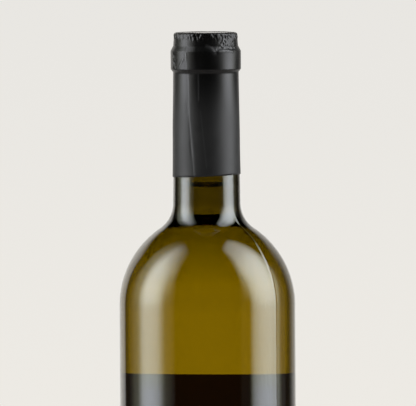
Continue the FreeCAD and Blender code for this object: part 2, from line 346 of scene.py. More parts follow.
@dataclass(frozen=True)
class PaperFinish:
    """Uncoated black paper: fibrous, matt, a little lighter along the fibres.

    Attributes:
        name: the material's name.
        colour, fibre_colour: its colour, and the colour of its fibres.
        fibre_scale, fibre_depth: how many fibres lie in a metre, and how far they stand out.
        fibre_rise: their scale along Z, where less than 1 draws them out.
        roughness, refraction: its roughness and its refractive index.
        glow_colour, glow: colour and strength of a painted glow that it gives off, though it is no
            lamp.
    """

    name: str = "label_paper"
    colour: Colour = (0.014, 0.013, 0.013)
    fibre_colour: Colour = (0.03, 0.028, 0.028)
    fibre_scale: float = 900.0
    fibre_depth: float = 0.02 * MM
    fibre_rise: float = 0.35
    roughness: float = 0.75
    refraction: float = 1.45
    glow_colour: Colour = (1.0, 0.5, 0.0)
    glow: float = 0.0

    def make(self) -> bpy.types.Material:
        """Makes the material and returns it."""
        material, graph = new_material(self.name)
        place = graph.add("TexCoord").outputs["Object"]
        scale = (1.0, 1.0, self.fibre_rise)
        stretch = graph.add("Mapping", {"Scale": scale, "Vector": place})
        fibre = graph.noise(stretch.outputs["Vector"], self.fibre_scale, 5.0)
        # Any emission is a painted glow.
        shader = graph.add("BsdfPrincipled", {
            "Base Color": graph.mix(fibre, rgba(self.colour), rgba(self.fibre_colour)),
            "Roughness": self.roughness, "IOR": self.refraction,
            "Emission Color": rgba(self.glow_colour), "Emission Strength": self.glow,
            "Normal": graph.bump(fibre, self.fibre_depth),
        })
        graph.add("OutputMaterial", {"Surface": shader.outputs["BSDF"]})
        return material


class Outline:
    """A half-section in the XZ plane, drawn with straight runs and arcs, then turned about Z."""

    def __init__(self, across: float, up: float, mark: str = "mark") -> None:
        """Starts the outline.

        Args:
            across: the first point's distance from the axis.
            up: its height.
            mark: name of the point attribute that the shell gets.
        """
        self.bm = bmesh.new()
        self.mark = self.bm.verts.layers.float.new(mark)
        self.points = [self.bm.verts.new((across, 0.0, up))]

    @property
    def tip(self) -> Place:
        """The last point, as its distance from the axis and its height."""
        return self.points[-1].co.x, self.points[-1].co.z

    def run(self, across: float, up: float, steps: int = 1) -> None:
        """Draws a straight run.

        Args:
            across: its end's distance from the axis.
            up: its end's height.
            steps: how many edges it has.
        """
        x, z = self.tip
        step = Vector(((across - x) / steps, 0.0, (up - z) / steps))
        for _ in range(steps):
            made = bmesh.ops.extrude_vert_indiv(self.bm, verts=[self.points[-1]])
            bmesh.ops.translate(self.bm, verts=made["verts"], vec=step)
            self.points.extend(made["verts"])

    def arc(self, centre: Place, end: Place, steps: int) -> None:
        """Draws an arc from the last point, the short way round.

        Args:
            centre: the arc's centre.
            end: a point in the direction of the arc's end.
            steps: how many edges it has.
        """
        x, z = self.tip
        start_angle = math.atan2(z - centre[1], x - centre[0])
        end_angle = math.atan2(end[1] - centre[1], end[0] - centre[0])
        angle = math.remainder(end_angle - start_angle, math.tau)
        turn = Matrix.Rotation(angle / steps, 3, Vector((0.0, -1.0, 0.0)))
        pivot = Vector((centre[0], 0.0, centre[1]))
        for _ in range(steps):
            made = bmesh.ops.extrude_vert_indiv(self.bm, verts=[self.points[-1]])
            bmesh.ops.rotate(self.bm, cent=pivot, matrix=turn, verts=made["verts"])
            self.points.extend(made["verts"])

    def corner(
        self, at: Place, toward: Place, radius: float, steps: int = 4, run_steps: int = 1
    ) -> None:
        """Draws a run to a corner and rounds it.

        Args:
            at: the sharp corner.
            toward: where the outline goes after it.
            radius: the corner's radius.
            steps: how many edges its arc has.
            run_steps: how many edges the run has.
        """
        corner, back, ahead = (Vector(place) for place in (at, self.tip, toward))
        back, ahead = (back - corner).normalized(), (ahead - corner).normalized()
        half = back.angle(ahead) / 2
        start = corner + back * radius / math.tan(half)
        end = corner + ahead * radius / math.tan(half)
        centre = corner + (back + ahead).normalized() * radius / math.sin(half)
        self.run(*start, run_steps)
        self.arc(tuple(centre), tuple(end), steps)

    def turned(self, segments: int) -> bmesh.types.BMesh:
        """Turns the outline about the Z axis.

        Args:
            segments: how many faces go round.

        Returns:
            The turned shell, welded, with its faces pointing outwards.
        """
        bmesh.ops.spin(
            self.bm,
            geom=list(self.bm.verts) + list(self.bm.edges),
            cent=(0.0, 0.0, 0.0),
            axis=(0.0, 0.0, 1.0),
            angle=math.tau,
            steps=segments,
            use_merge=True,
        )
        bmesh.ops.remove_doubles(self.bm, verts=list(self.bm.verts), dist=0.001 * MM)
        bmesh.ops.recalc_face_normals(self.bm, faces=list(self.bm.faces))
        return self.bm


def add_piece(
    name: str, shape: bmesh.types.BMesh, material: bpy.types.Material, node: Node
) -> bpy.types.Object:
    """Makes an object from a bmesh, dresses it and puts it in a CAD node's place.

    Args:
        name: the piece's name.
        shape: its mesh, which is used up.
        material: its material.
        node: the CAD node that it stands for.

    Returns:
        The new object.
    """
    mesh = bpy.data.meshes.new(name)
    for face in shape.faces:
        face.smooth = True
    millilitres = shape.calc_volume(signed=True) * 1e6
    shape.to_mesh(mesh)
    shape.free()
    piece = bpy.data.objects.new(name, mesh)
    bpy.context.scene.collection.objects.link(piece)
    mesh.materials.append(material)
    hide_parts(node.value)
    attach(piece, BODY)
    log.info("%s: %d faces, %.2f ml", name, len(mesh.polygons), millilitres)
    return piece


@dataclass
class Bottle:
    """The glass: its outside, its thick neck, its finish and the cavity that the wine fills.

    Attributes:
        body_r: radius of the body.
        height: height of the glass.
        wall: thickness of the body's wall.
        level: height up to which the wine wets the wall.
        segments: how many faces go round.
        heel_r, ring_width, ring_round: the heel's radius, the width of the ring that the
            bottle stands on, and how much the ring's inner edge is rounded.
        punt_depth, base_thickness: depth of the punt, and thickness of the glass over it.
        shoulder_r, root_r: radii of the shoulder and of the hollow arc under the neck.
        neck_length, neck_root_r, neck_top_r: the neck from its foot to the mouth, its radii.
        finish_height, lip_height: what the band and the lip, and the lip alone, measure.
        band_underside, band_shoulder, band_reach: heights of the band's two slopes, its reach.
        lip_setback, lip_taper: how far the lip's foot lies inside the band, its top inside that.
        edge_round, lip_round: radii of the band's edges and of the lip's outer edge.
        inner_heel_r, inner_root_r: radii inside the heel, and between bore and shoulder.
        root_lead: how much higher that last arc starts than the neck's foot.
        bore_r: radius of the bore.
        seam_angle, seam_width, seam_height: how far round the mould seam lies from the
            viewer's direction, half its width, and how far it stands out.
        seam_foot, far_seam: share of that height down its sides, and on the far side.
        seam_faint, seam_change: share of it low on the body, and the shares of the bottle's
            height between which it grows to the full.
        seam_rise: how far it runs up the neck.
    """

    body_r: float
    height: float
    wall: float
    level: float
    segments: int = 192
    heel_r: float = 6.0 * MM
    ring_width: float = 3.0 * MM
    ring_round: float = 1.2 * MM
    punt_depth: float = 20.0 * MM
    shoulder_r: float = 39.5 * MM
    root_r: float = 13.0 * MM
    neck_length: float = 72.7 * MM
    neck_root_r: float = 14.37 * MM
    neck_top_r: float = 13.7 * MM
    finish_height: float = 16.6 * MM
    lip_height: float = 5.4 * MM
    band_underside: float = 1.3 * MM
    band_shoulder: float = 2.2 * MM
    band_reach: float = 0.98 * MM
    lip_setback: float = 1.13 * MM
    lip_taper: float = 0.45 * MM
    edge_round: float = 0.8 * MM
    lip_round: float = 1.1 * MM
    base_thickness: float = 4.0 * MM
    inner_heel_r: float = 3.5 * MM
    inner_root_r: float = 17.9 * MM
    root_lead: float = 0.7 * MM
    bore_r: float = 9.25 * MM
    seam_angle: float = math.radians(51.0)
    seam_width: float = 0.45 * MM
    seam_height: float = 0.16 * MM
    seam_foot: float = 0.6
    seam_faint: float = 0.25
    seam_change: Place = (0.55, 0.65)
    seam_rise: float = 10.5 * MM
    far_seam: float = 0.3

    @property
    def ring_r(self) -> float:
        """Radius where the punt's dome meets the bearing ring."""
        return self.body_r - self.heel_r - self.ring_width

    @property
    def dome_r(self) -> float:
        """Radius of the punt's dome."""
        return (self.ring_r**2 + self.punt_depth**2) / (2 * self.punt_depth)

    @staticmethod
    def shoulder(
        root: Place, root_r: float, wall_r: float, shoulder_r: float
    ) -> tuple[Place, Place]:
        """Finds the shoulder's arc, which touches the upright wall and the neck root's arc.

        Args:
            root: centre of the neck root's arc.
            root_r: its radius.
            wall_r: distance of the wall from the axis.
            shoulder_r: radius of the shoulder's arc.

        Returns:
            The centre of the shoulder's arc, and the point where it meets the root's arc.
        """
        across = wall_r - shoulder_r
        reach = root_r + shoulder_r
        centre = (across, root[1] - math.sqrt(reach**2 - (root[0] - across) ** 2))
        share = shoulder_r / reach
        meet = tuple(s + share * (r - s) for s, r in zip(centre, root))
        return centre, meet

    def finish_steps(self, cover: float) -> list[Place]:
        """The corners of the band and the lip, from below.

        Args:
            cover: how far outside the glass they lie.

        Returns:
            The corners, as distance from the axis and height.
        """
        low, lip = self.height - self.finish_height, self.height - self.lip_height
        band = self.neck_top_r + self.band_reach + cover
        return [
            (self.neck_top_r + cover, low),
            (band, low + self.band_underside),
            (band, lip - self.band_shoulder),
            (band - self.lip_setback, lip),
            (band - self.lip_setback - self.lip_taper, self.height + cover),
        ]

    def draw_outside(self, outline: Outline) -> None:
        """Draws the glass from the top of the punt to the top of the lip.

        Args:
            outline: an outline that starts at the top of the punt.
        """
        dome_centre = (0.0, self.punt_depth - self.dome_r)
        edge = math.asin((self.ring_r - self.ring_round) / self.dome_r)
        near_ring = (self.dome_r * math.sin(edge), dome_centre[1] + self.dome_r * math.cos(edge))
        outline.arc(dome_centre, near_ring, 28)
        ring_out = self.body_r - self.heel_r
        outline.corner((self.ring_r, 0.0), (ring_out, 0.0), self.ring_round / 2)
        outline.run(ring_out, 0.0)
        outline.arc((ring_out, self.heel_r), (self.body_r, self.heel_r), 12)
        neck_root = (self.neck_root_r, self.height - self.neck_length)
        neck_top = (self.neck_top_r, self.height - self.finish_height)
        side = (Vector(neck_top) - Vector(neck_root)).normalized()
        root = tuple(Vector(neck_root) + Vector((side.y, -side.x)) * self.root_r)
        centre, meet = self.shoulder(root, self.root_r, self.body_r, self.shoulder_r)
        outline.run(self.body_r, centre[1], 20)
        outline.arc(centre, meet, 48)
        outline.arc(root, neck_root, 24)
        steps = self.finish_steps(0.0)
        outline.run(*steps[0], 8)
        for number in range(1, len(steps) - 1):
            outline.corner(steps[number], steps[number + 1], self.edge_round)
        outline.corner(steps[-1], (self.bore_r, self.height), self.lip_round)

    def draw_inside(self, outline: Outline, top: float, skin: float) -> None:
        """Draws the cavity downwards, from the bore to the middle of the floor.

        Args:
            outline: an outline whose last point lies at the bore.
            top: height at which the bore is joined.
            skin: how far outside the cavity the outline lies.
        """
        bore = self.bore_r + skin
        wall_r = self.body_r - self.wall
        root_up = self.height - self.neck_length + self.root_lead
        root = (self.bore_r + self.inner_root_r, root_up)
        shoulder_r = self.shoulder_r - self.wall
        centre, meet = self.shoulder(root, self.inner_root_r, wall_r, shoulder_r)
        outline.run(bore, top)
        outline.run(bore, root_up, 8)
        outline.arc(root, meet, 28)
        outline.arc(centre, (wall_r, centre[1]), 48)
        floor_r = self.dome_r + self.base_thickness
        floor = (0.0, self.punt_depth + self.base_thickness - floor_r)
        valley_across = wall_r - self.inner_heel_r
        rise = math.sqrt((floor_r + self.inner_heel_r) ** 2 - valley_across**2)
        valley = (valley_across, floor[1] + rise)
        outline.run(wall_r + skin, valley[1], 20)
        outline.arc(valley, floor, 12)
        outline.arc(floor, (0.0, self.height), 28)

    def build(self, material: bpy.types.Material, wet_attribute: str) -> bpy.types.Object:
        """Builds the glass.

        Args:
            material: its material.
            wet_attribute: name of the attribute that marks the wall that the wine wets.

        Returns:
            The piece.
        """
        outline = Outline(0.0, self.punt_depth, wet_attribute)
        self.draw_outside(outline)
        mouth_at = len(outline.points)
        outline.corner((self.bore_r, self.height), (self.bore_r, 0.0), self.edge_round)
        self.draw_inside(outline, self.height - 2 * self.edge_round, 0.0)
        for point in outline.points[mouth_at:]:
            point[outline.mark] = 1.0 if point.co.z < self.level else 0.0
        shape = outline.turned(self.segments)
        self.raise_seam(shape)
        return add_piece("bottle_glass", shape, material, Node.GLASS)

    def raise_seam(self, shape: bmesh.types.BMesh) -> None:
        """Raises the fine line that the two halves of the mould leave on each side.

        Args:
            shape: the turned shell of the glass.
        """
        toward = Vector((math.sin(self.seam_angle), -math.cos(self.seam_angle), 0.0))
        beside = Vector((-toward.y, toward.x, 0.0))
        for share in (-1.0, -0.5, 0.0, 0.5, 1.0):
            bmesh.ops.bisect_plane(
                shape,
                geom=list(shape.verts) + list(shape.edges) + list(shape.faces),
                dist=0.001 * MM,
                plane_co=beside * share * self.seam_width,
                plane_no=beside,
            )
        shape.normal_update()
        top = self.height - self.neck_length + self.seam_rise
        low, high = (share * self.height for share in self.seam_change)
        for vert in shape.verts:
            away = Vector((vert.co.x, vert.co.y, 0.0))
            aside = abs(vert.co.dot(beside)) / self.seam_width
            outside = vert.normal.dot(away) > 0.0 and self.heel_r < vert.co.z <= top
            # The crest lies at 0, and the outermost cuts, at 1, stay where they are.
            if aside > 0.7 or not outside:
                continue
            share = 1.0 if aside < 0.1 else self.seam_foot
            if away.dot(toward) < 0.0:
                share *= self.far_seam
            share *= min(1.0, max(self.seam_faint, (vert.co.z - low) / (high - low)))
            vert.co += vert.normal * self.seam_height * share


@dataclass
class Wine:
    """The wine, which reaches just into the wall and climbs a little where it meets the neck.

    Attributes:
        bottle: the bottle that holds it.
        level: height of its surface.
        skin: how far it reaches into the wall.
        climb: how far its edge climbs.
        bend: over what length the climb dies away.
        brim: how far it runs straight down from its edge.
        surface_steps: how many edges its surface has from the middle out.
    """

    bottle: Bottle
    level: float
    skin: float = 0.12 * MM
    climb: float = 2.6 * MM
    bend: float = 1.6 * MM
    brim: float = 0.1 * MM
    surface_steps: int = 36

    def build(self, material: bpy.types.Material, wet_attribute: str) -> bpy.types.Object:
        """Builds the wine.

        Args:
            material: its material.
            wet_attribute: name of the attribute that marks the surface that the glass touches.

        Returns:
            The piece.
        """
        outline = Outline(0.0, self.level, wet_attribute)
        edge = self.bottle.bore_r + self.skin
        for step in range(1, self.surface_steps + 1):
            # The steps close up towards the edge, where the surface bends.
            across = edge * math.sin(math.pi / 2 * step / self.surface_steps)
            outline.run(across, self.level + self.climb * math.exp((across - edge) / self.bend))
        free = len(outline.points)
        self.bottle.draw_inside(outline, outline.tip[1] - self.brim, self.skin)
        for point in outline.points[free:]:
            point[outline.mark] = 1.0
        shape = outline.turned(self.bottle.segments)
        return add_piece("wine_fill", shape, material, Node.WINE)


@dataclass(frozen=True)
class Fold:
    """A raised or sunk line in the film, some with a painted highlight along it.

    Attributes:
        line: its points, as degrees round from the viewer's direction and depth below the top
            of the capsule in millimetres.
        rise: how far it stands out, in millimetres, negative where it is sunk.
        width: how far it reaches to each side, in millimetres.
        fold_highlight: how much painted highlight, in light grey, it gets along its crest.
    """

    line: list[Place]
    rise: float
    width: float
    fold_highlight: float = 0.0

    def nearness(self, turn: float, drop: float, radius: float) -> float:
        """Tells how near a point is to the line.

        Args:
            turn: the point's degrees round from the viewer's direction.
            drop: its depth below the top, in millimetres.
            radius: its distance from the axis, in millimetres.

        Returns:
            1 on the line, falling off to 0 beside it.
        """
        scale = math.radians(1.0) * radius
        for value, part, far in ((turn * scale, 0, scale), (drop, 1, 1.0)):
            low, high = (end(place[part] for place in self.line) * far for end in (min, max))
            if not low - 3 * self.width < value < high + 3 * self.width:
                return 0.0
        point = Vector((turn * scale, drop))
        best = math.inf
        for (turn_a, drop_a), (turn_b, drop_b) in zip(self.line, self.line[1:]):
            start, end = Vector((turn_a * scale, drop_a)), Vector((turn_b * scale, drop_b))
            along = end - start
            share = min(1.0, max(0.0, (point - start).dot(along) / along.length_squared))
            best = min(best, (point - start - along * share).length)
        return math.exp(-((best / self.width) ** 2))


def rising(distance: float, width: float) -> float:
    """Gives a smooth step from 0 to 1.

    Args:
        distance: how far past the step's middle the point lies.
        width: how soft the step is.

    Returns:
        The share of the step that is reached.
    """
    return 1.0 / (1.0 + math.exp(-min(40.0, max(-40.0, distance / width))))


def between(line: list[Place], drop: float) -> float:
    """Reads a line's degrees at a depth.

    Args:
        line: points as degrees and depth, from the top down.
        drop: the depth.

    Returns:
        The degrees there.
    """
    for (turn_a, drop_a), (turn_b, drop_b) in zip(line, line[1:]):
        if drop <= drop_b:
            share = max(0.0, (drop - drop_a) / (drop_b - drop_a))
            return turn_a + (turn_b - turn_a) * share
    return line[-1][0]


@dataclass
class Capsule:
    """The shrunk film over the mouth, the band and the neck.

    Attributes:
        bottle: the bottle that it covers.
        hem: height of its hem at the middle.
        wall: thickness of the film.
        skew: how much lower the hem is on the -X side.
        disc_r, disc_drop, disc_round: radius and depth of the sunk disc on its top, and how
            much its edges are rounded.
        finish_rows: how many edges run up to each corner of the band.
        segments: how many faces go round.
        sway: how far the whole film wanders in and out, in millimetres, as are those below.
        overlap, overlap_edges: how far the overlapping edge of the film stands out, and how
            soft its outer and inner edges are.
        pleat_rise, pleat_reach: how high the pleats on the lip's edge stand; the depth of
            their middle, and how far they reach up and down.
        crush_rise, crush_turn, crush_reach: how rough the crushed patch on the lip is; its
            middle and half its size, round in degrees and up and down.
        crumple: how fine the pleats and the crushed patch are.
        deepest: how far the film may sink at most.
    """

    bottle: Bottle
    hem: float
    wall: float = 0.3 * MM
    skew: float = 1.1 * MM
    disc_r: float = 10.4 * MM
    disc_drop: float = 0.12 * MM
    disc_round: float = 0.1 * MM
    finish_rows: tuple[int, ...] = (3, 16, 5)
    segments: int = 344
    sway: float = 0.1
    overlap: float = 0.11
    overlap_edges: Place = (0.09, 0.35)
    pleat_rise: float = 0.62
    pleat_reach: Place = (1.6, 1.2)
    crush_rise: float = 0.4
    crush_turn: Place = (43.0, 17.0)
    crush_reach: Place = (4.6, 2.5)
    crumple: float = 0.75
    deepest: float = -0.24

    SEAM_EDGE = [
        (-38, 2.7), (-37, 6.5), (-34.5, 10.8), (-32.4, 20.6), (-31.4, 29), (-29.4, 37), (-27, 44),
        (-24.2, 51), (-21, 62.5),
    ]
    SEAM_INNER = [
        (-17, 2.7), (-15, 10.8), (-13.1, 17.3), (-13, 27.4), (-9.4, 33.3), (-5, 45), (0, 57.2),
        (1, 62.5),
    ]
    # A fold's fourth number, where given, is how much painted highlight its crest gets.
    FOLDS = [
        Fold(SEAM_EDGE[4:], 0.02, 0.2, 0.22),
        Fold([(-34.2, 8.9), (-34, 11.6)], 0.1, 0.3, 0.8),
        Fold([(-39.4, 10.8), (-48.5, 14.2)], 0.16, 0.35, 0.5),
        Fold([(-13.2, 17.3), (-12.6, 28.5)], 0.08, 0.22, 0.25),
        Fold([(-9.4, 33.3), (-4, 47), (0, 57.2)], 0.04, 0.2, 0.12),
        Fold([(-59, 9), (-66, 10), (-60, 11.2)], -0.24, 0.45),
        Fold([(-57, 12), (-65, 12.6), (-59, 14.8)], -0.24, 0.4),
        Fold([(-69, 9), (-68, 14.5)], 0.12, 0.5),
        Fold([(-40.7, 30.8), (-35, 33.8)], -0.12, 0.4),
        Fold([(-36.5, 30.2), (-32, 33.4)], -0.14, 0.4),
        Fold([(-29, 46), (-26.5, 52)], -0.08, 0.5),
        Fold([(20, 6.9), (27, 6.3), (33, 6.9), (40, 6.3), (47, 7), (58, 6.6)],
             -0.2, 0.35),
        Fold([(22, 8), (35, 7.4), (50, 7.9)], 0.14, 0.5, 0.2),
        Fold([(2, 5.6), (9, 6.6), (14, 8.6)], 0.16, 0.7, 0.15),
        Fold([(-30, 38.5), (-24, 50.5), (-20.5, 62)], -0.06, 0.5),
    ]

    def draw(self) -> Outline:
        """Draws the film's outside, from the hem to the middle of the top disc, and returns it."""
        bottle = self.bottle
        steps = bottle.finish_steps(self.wall)
        neck_drop = bottle.neck_length - bottle.finish_height
        lean = (bottle.neck_root_r - bottle.neck_top_r) / neck_drop
        hem_r = steps[0][0] + lean * (steps[0][1] - self.hem)
        # The outline's point attribute carries the painted highlight along the folds.
        outline = Outline(hem_r, self.hem, "fold_highlight")
        outline.run(*steps[0], 54)
        for number, rows in enumerate(self.finish_rows, 1):
            outline.corner(steps[number], steps[number + 1], bottle.edge_round, 5, rows)
        top = bottle.height + self.wall
        outline.corner(steps[-1], (self.disc_r, top), bottle.lip_round, 10, 14)
        sunk = (self.disc_r - self.disc_drop, top - self.disc_drop)
        outline.corner((self.disc_r, top), sunk, self.disc_round, 3, 2)
        outline.corner(sunk, (0.0, sunk[1]), self.disc_round, 3)
        outline.run(0.0, sunk[1], 8)
        return outline

    def lift(self, turn: float, drop: float, radius: float) -> float:
        """Works out how far the film stands off its plain shape.

        Args:
            turn: degrees round from the viewer's direction.
            drop: depth below the top, in millimetres.
            radius: distance from the axis, in millimetres.

        Returns:
            How far the film is lifted, in millimetres.
        """
        angle = math.radians(turn)
        spot = Vector((math.sin(angle), math.cos(angle), 0.0)) * radius
        total = self.sway * noise.noise(spot / 9.0 + Vector((0.0, 0.0, drop / 16.0)))
        # Where the film's ends overlap it is twice as thick.
        scale = math.radians(1.0) * radius
        inside = (turn - between(self.SEAM_EDGE, drop)) * scale
        outside = (between(self.SEAM_INNER, drop) - turn) * scale
        edge, inner_edge = self.overlap_edges
        total += self.overlap * rising(inside, edge) * rising(outside, inner_edge)
        # The film pleats where it shrinks over the edge of the lip, more in some places.
        pleat = noise.noise(spot / self.crumple + Vector((0.0, 0.0, drop / 1.8)))
        strength = 0.45 + 0.9 * max(0.0, noise.noise(spot / 7.0 + Vector((3.0, 1.0, 5.0))) + 0.25)
        middle, reach = self.pleat_reach
        total += self.pleat_rise * pleat * strength * math.exp(-(((drop - middle) / reach) ** 2))
        aside = (turn - self.crush_turn[0]) / self.crush_turn[1]
        lower = (drop - self.crush_reach[0]) / self.crush_reach[1]
        patch = math.exp(-(aside**4) - lower**4)
        crushed = noise.noise(spot / self.crumple + Vector((7.0, 2.0, drop / self.crumple)))
        total += self.crush_rise * patch * crushed
        for fold in self.FOLDS:
            total += fold.rise * fold.nearness(turn, drop, radius)
        return max(total, self.deepest)

    def build(
        self, material: bpy.types.Material, disc_material: bpy.types.Material
    ) -> bpy.types.Object:
        """Builds the capsule.

        Args:
            material: its material.
            disc_material: the material of the disc on its top.

        Returns:
            The piece.
        """
        outline = self.draw()
        fold_highlight = outline.mark
        band_low = self.bottle.finish_steps(self.wall)[0][1]
        top = self.bottle.height + self.wall
        shape = outline.turned(self.segments)
        shape.normal_update()
        for vert in shape.verts:
            radius = math.hypot(vert.co.x, vert.co.y)
            if radius < self.disc_r:
                continue
            turn = math.degrees(math.atan2(vert.co.x, -vert.co.y))
            drop = (top - vert.co.z) / MM
            # Each point gets the strongest painted highlight of the folds near it.
            nearest = (fold.fold_highlight * fold.nearness(turn, drop, radius / MM) for fold in self.FOLDS)
            vert[fold_highlight] = max(nearest)
            rim = min(1.0, (radius - self.disc_r) / MM)
            vert.co += vert.normal * self.lift(turn, drop, radius / MM) * MM * rim
        for vert in shape.verts:
            if vert.co.z < band_low:
                share = (band_low - vert.co.z) / (band_low - self.hem)
                vert.co.z += share * self.skew / 2 * vert.co.x / self.bottle.neck_root_r
        bmesh.ops.solidify(shape, geom=list(shape.faces), thickness=self.wall * 0.8)
        for face in shape.faces:
            middle = face.calc_center_median()
            across = math.hypot(middle.x, middle.y)
            if across < self.disc_r - self.disc_drop and middle.z > top - 2 * self.disc_drop:
                face.material_index = 1
        film = add_piece("capsule_film", shape, material, Node.CAPSULE)
        film.data.materials.append(disc_material)
        return film


@dataclass
class Label:
    """The label, glued to the far side of the body.

    Attributes:
        body_r: radius of the body that it is glued to.
        low: height of its lower edge.
        high: height of its upper edge.
        width: its width along the glass.
        thickness: thickness of the paper.
        sunk: how far it reaches into the glass.
        corner_r: radius of its corners.
        tilt: how far it is turned in its own plane.
        columns: how many faces it has along each side.
    """

    body_r: float
    low: float
    high: float
    width: float
    thickness: float = 0.15 * MM
    sunk: float = 0.02 * MM
    corner_r: float = 1.5 * MM
    tilt: float = math.radians(-1.0)
    columns: int = 120

    def round_corners(self, sheet: bmesh.types.BMesh, tall: float) -> None:
        """Pulls the flat sheet's corners in to their radius.

        Args:
            sheet: the flat sheet.
            tall: its height.
        """
        pivot = Vector((self.width / 2 - self.corner_r, tall / 2 - self.corner_r))
        for vert in sheet.verts:
            off = Vector((abs(vert.co.x) - pivot.x, abs(vert.co.y) - pivot.y))
            if off.x > 0.0 and off.y > 0.0:
                # A square ring of points becomes a round one.
                off = off.normalized() * max(off.x, off.y)
                vert.co.x = math.copysign(pivot.x + off.x, vert.co.x)
                vert.co.y = math.copysign(pivot.y + off.y, vert.co.y)

    def build(
        self, material: bpy.types.Material, backing: bpy.types.Material
    ) -> bpy.types.Object:
        """Builds the label.

        Args:
            material: the material of its outside.
            backing: the material of its glued side, whose brown tint and glow are painted light.

        Returns:
            The piece.
        """
        shape = bmesh.new()
        bmesh.ops.create_grid(
            shape, x_segments=self.columns, y_segments=self.columns, size=0.5
        )
        tall = self.high - self.low
        bmesh.ops.scale(shape, vec=(self.width, tall, 1.0), verts=list(shape.verts))
        self.round_corners(shape, tall)
        inner = self.body_r - self.sunk
        slope = math.tan(self.tilt)
        for vert in shape.verts:
            along, up = vert.co.x, vert.co.y
            angle = along / self.body_r
            vert.co.x = inner * math.sin(angle)
            vert.co.y = inner * math.cos(angle)
            vert.co.z = (self.low + self.high) / 2 + up + slope * along
        # Bending left the grid's faces pointing at the axis, and a wall that grows outwards
        # leaves the shell inside out, so its faces are turned round before and after.
        bmesh.ops.reverse_faces(shape, faces=list(shape.faces))
        bmesh.ops.solidify(shape, geom=list(shape.faces), thickness=-self.thickness)
        bmesh.ops.reverse_faces(shape, faces=list(shape.faces))
        for face in shape.faces:
            middle = face.calc_center_median()
            if math.hypot(middle.x, middle.y) < self.body_r:
                face.material_index = 1
        sheet = add_piece("label_sheet", shape, material, Node.LABEL)
        sheet.data.materials.append(backing)
        return sheet


@dataclass(frozen=True)
class Softbox:
    """A tall softbox, soft at its edges, as it is seen from the bottle.

    Attributes:
        name: the lamp's name.
        across: angles from the viewer's direction, in degrees, negative on the left, with the
            share of the brightness at each, low down.
        across_high: the same, high up, where its cloth spreads wider.
        up: heights in metres, with the share of the brightness at each.
        radiance: its brightness at the middle.
        far: how far from the bottle it stands.
        tint: its colour.
        warm_sides: how fast its blue falls towards its sides.
        spreading: the heights between which the cloth spreads.
    """

    name: str
    across: list[Place]
    across_high: list[Place]
    up: list[Place]
    radiance: float
    far: float = 0.9
    tint: Colour = (0.945, 1.0, 1.06)
    warm_sides: float = 0.13
    spreading: Place = (0.25, 1.0)

    def place(self) -> None:
        """Puts the lamp beside the bottle."""
        first, last = (math.radians(self.across_high[end][0]) for end in (0, -1))
        middle, half = (first + last) / 2, (last - first) / 2
        low, high = self.up[0][0], self.up[-1][0]
        data = bpy.data.lights.new(self.name, "AREA")
        data.shape = "RECTANGLE"
        data.size, data.size_y = 2 * self.far * math.tan(half), high - low
        data.energy = self.radiance * math.pi * data.size * data.size_y
        data.color = self.tint
        lamp = bpy.data.objects.new(data.name, data)
        bpy.context.scene.collection.objects.link(lamp)
        toward = Vector((math.sin(middle), -math.cos(middle), 0.0))
        lamp.location = toward * self.far + Vector((0.0, 0.0, (low + high) / 2))
        lamp.rotation_euler = (-toward).to_track_quat("-Z", "Y").to_euler()
        lamp.visible_camera = False
        lamp.visible_transmission = False
        data.use_nodes = True
        graph = Graph(data.node_tree)
        place = graph.parts(graph.add("NewGeometry").outputs["Position"])
        turned = around(graph, place)
        scaled = graph.math("DIVIDE", place["Z"], high)
        low_down, high_up = (
            ring(graph, turned, stops) for stops in (self.across, self.across_high)
        )
        change = graph.ramp(scaled, [(self.spreading[end] / high, end) for end in (0, 1)])
        spread = graph.mix(change, low_down, high_up)
        rise = graph.ramp(scaled, [(height / high, share) for height, share in self.up])
        # The cloth is a little warmer towards its sides.
        blue = graph.math("POWER", spread, self.warm_sides)
        shade = graph.add("CombineColor", {"Red": 1.0, "Green": 1.0, "Blue": blue})
        strength = graph.math("MULTIPLY", spread, rise)
        glow = graph.add("Emission", {"Color": shade.outputs["Color"], "Strength": strength})
        graph.add("OutputLight", {"Surface": glow.outputs["Emission"]})


def around(graph: Graph, way: bpy.types.NodeOutputs) -> bpy.types.NodeSocket:
    """Works out how far round the bottle a direction lies.

    Args:
        graph: the graph that gets the nodes.
        way: the direction's parts.

    Returns:
        The turn: 0.5 towards the viewer, less on the left, 0 and 1 straight behind.
    """
    turn = graph.math("ARCTAN2", way["X"], graph.math("MULTIPLY", way["Y"], -1.0))
    return graph.math("MULTIPLY_ADD", turn, 1 / math.tau, 0.5)


def ring(
    graph: Graph, turned: bpy.types.NodeSocket, stops: list[Place]
) -> bpy.types.NodeSocket:
    """Reads a brightness from a ring round the bottle.

    Args:
        graph: the graph that gets the nodes.
        turned: the turn, as around gives it.
        stops: degrees from the viewer's direction with the brightness at each.

    Returns:
        The brightness there.
    """
    return graph.ramp(turned, [(angle / 360 + 0.5, grey) for angle, grey in stops])


